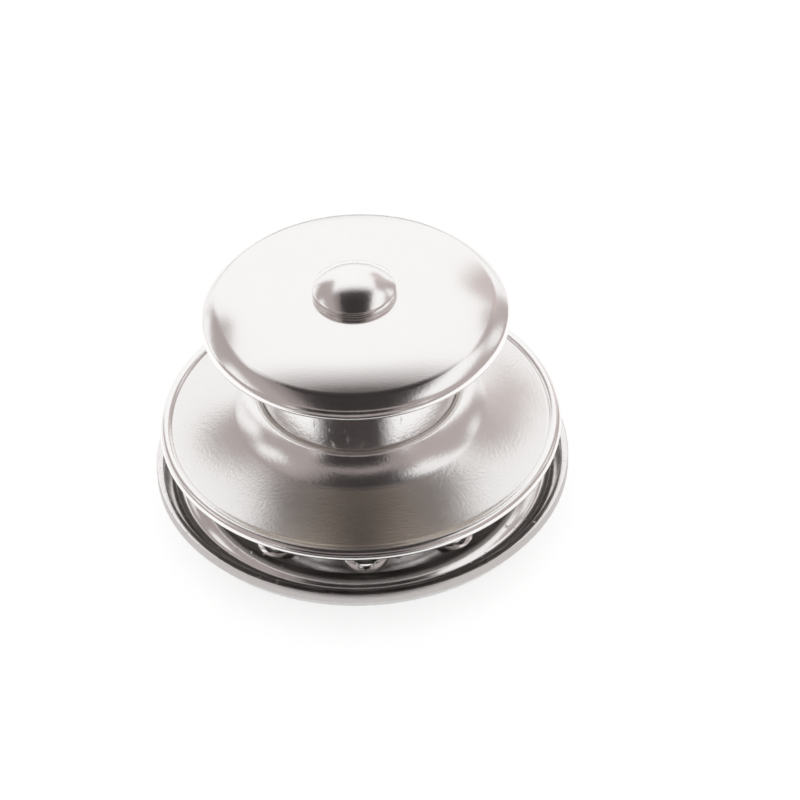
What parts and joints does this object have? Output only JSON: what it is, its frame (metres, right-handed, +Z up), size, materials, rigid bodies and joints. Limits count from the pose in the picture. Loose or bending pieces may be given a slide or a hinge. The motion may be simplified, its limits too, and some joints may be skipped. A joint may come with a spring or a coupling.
{
  "type": "snap fastener",
  "caption": "Pull-to-release snap fastener socket: domed knob on a short neck, flared round flange, and a dished claw washer that clamps fabric.",
  "frame": {"origin": "centre of the stem's lower end face, where the stud goes in", "axes": "+Z up along the axis of the knob, neck and stem; X and Y lie level, and one claw faces -Y"},
  "size_m": [0.0206, 0.0206, 0.0143],
  "materials": {
    "satin_nickel": "satin nickel plate over a pressing, finely brushed",
    "polished_nickel": "bright polished nickel plate",
    "plated_brass": "thinly plated turned brass, left as machined",
    "bearing_steel": "hard polished steel",
    "spring_wire": "drawn spring wire",
    "washer_nickel": "nickel plate over a pressed blank with cut edges"
  },
  "bodies": {
    "socket": {"lock_housing": "polished_nickel", "stud_guide": "plated_brass", "ball_cage": "plated_brass", "flange_shell": "satin_nickel", "return_spring": "spring_wire"},
    "sleeve": {"locking_sleeve": "plated_brass"},
    "knob": {"knob_cap": "satin_nickel", "knob_back_plate": "plated_brass", "pull_pin": "polished_nickel", "pin_washer": "bearing_steel"},
    "washer": {"claw_washer": "washer_nickel"},
    "nut": {"ring_nut": "washer_nickel"},
    "ball_1": {"lock_ball_1": "bearing_steel"},
    "ball_2": {"lock_ball_2": "bearing_steel"},
    "ball_3": {"lock_ball_3": "bearing_steel"},
    "ball_4": {"lock_ball_4": "bearing_steel"},
    "ball_5": {"lock_ball_5": "bearing_steel"},
    "ball_6": {"lock_ball_6": "bearing_steel"}
  },
  "joints": [
    {"name": "knob_pull", "type": "slide", "parent": "socket", "child": "sleeve", "axis": [0, 0, 1], "range_m": [0, 0.0015], "stiffness_N_per_m": 600, "springref_m": -0.001, "deforming": ["return_spring"]},
    {"name": "knob_spin", "type": "hinge", "parent": "sleeve", "child": "knob", "pos_m": [0, 0, 0.0115], "axis": [0, 0, 1], "continuous": true},
    {"name": "clamp_travel", "type": "slide", "parent": "socket", "child": "washer", "axis": [0, 0, 1], "range_m": [-0.00025, 0.0015]},
    {"name": "nut_turn", "type": "hinge", "parent": "washer", "child": "nut", "pos_m": [0, 0, 0.001], "axis": [0, 0, 1], "range_deg": [-120, 720]},
    {"name": "ball_1_out", "type": "slide", "parent": "socket", "child": "ball_1", "axis": [1, 0, 0], "range_m": [0, 0.00036]},
    {"name": "ball_2_out", "type": "slide", "parent": "socket", "child": "ball_2", "axis": [0.5, 0.866, 0], "range_m": [0, 0.00036]},
    {"name": "ball_3_out", "type": "slide", "parent": "socket", "child": "ball_3", "axis": [-0.5, 0.866, 0], "range_m": [0, 0.00036]},
    {"name": "ball_4_out", "type": "slide", "parent": "socket", "child": "ball_4", "axis": [-1, 0, 0], "range_m": [0, 0.00036]},
    {"name": "ball_5_out", "type": "slide", "parent": "socket", "child": "ball_5", "axis": [-0.5, -0.866, 0], "range_m": [0, 0.00036]},
    {"name": "ball_6_out", "type": "slide", "parent": "socket", "child": "ball_6", "axis": [0.5, -0.866, 0], "range_m": [0, 0.00036]}
  ],
  "couplings": [
    {"joint": "nut_turn", "follows": "clamp_travel", "rad_per_m": 8377.6},
    {"joint": "ball_1_out", "follows": "knob_pull", "ratio": 0.24},
    {"joint": "ball_2_out", "follows": "knob_pull", "ratio": 0.24},
    {"joint": "ball_3_out", "follows": "knob_pull", "ratio": 0.24},
    {"joint": "ball_4_out", "follows": "knob_pull", "ratio": 0.24},
    {"joint": "ball_5_out", "follows": "knob_pull", "ratio": 0.24},
    {"joint": "ball_6_out", "follows": "knob_pull", "ratio": 0.24}
  ]
}
